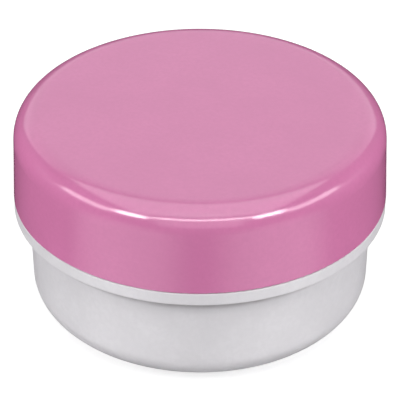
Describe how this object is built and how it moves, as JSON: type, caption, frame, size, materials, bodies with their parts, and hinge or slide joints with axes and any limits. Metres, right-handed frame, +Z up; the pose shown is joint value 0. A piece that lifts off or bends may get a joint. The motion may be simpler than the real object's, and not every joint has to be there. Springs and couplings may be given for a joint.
{
  "type": "dappen dish",
  "caption": "Small round lidded pot for nail liquids and powders: a white cup with a rounded well and a threaded neck, closed by a glossy pink screw lid with a sealing liner.",
  "frame": {"origin": "centre of the foot ring, on the plane that the dish stands on", "axes": "+Z up along the dish's axis of rotation; +X points to where the neck's thread starts"},
  "size_m": [0.04, 0.04, 0.0236],
  "materials": {
    "white_polypropylene": "satin",
    "pink_polypropylene": "gloss",
    "foam_liner": "matt"
  },
  "bodies": {
    "dish": {"dish_body": "white_polypropylene"},
    "liner": {"lid_liner": "foam_liner"},
    "lid": {"lid_shell": "pink_polypropylene"}
  },
  "joints": [
    {"name": "lid_rise", "type": "slide", "parent": "dish", "child": "liner", "axis": [0, 0, 1], "range_m": [0, 0.015]},
    {"name": "lid_turn", "type": "hinge", "parent": "liner", "child": "lid", "pos_m": [0, 0, 0.0222], "axis": [0, 0, 1], "range_deg": [0, 1800]}
  ],
  "couplings": [
    {"joint": "lid_rise", "follows": "lid_turn", "m_per_rad": 0.00047746}
  ]
}
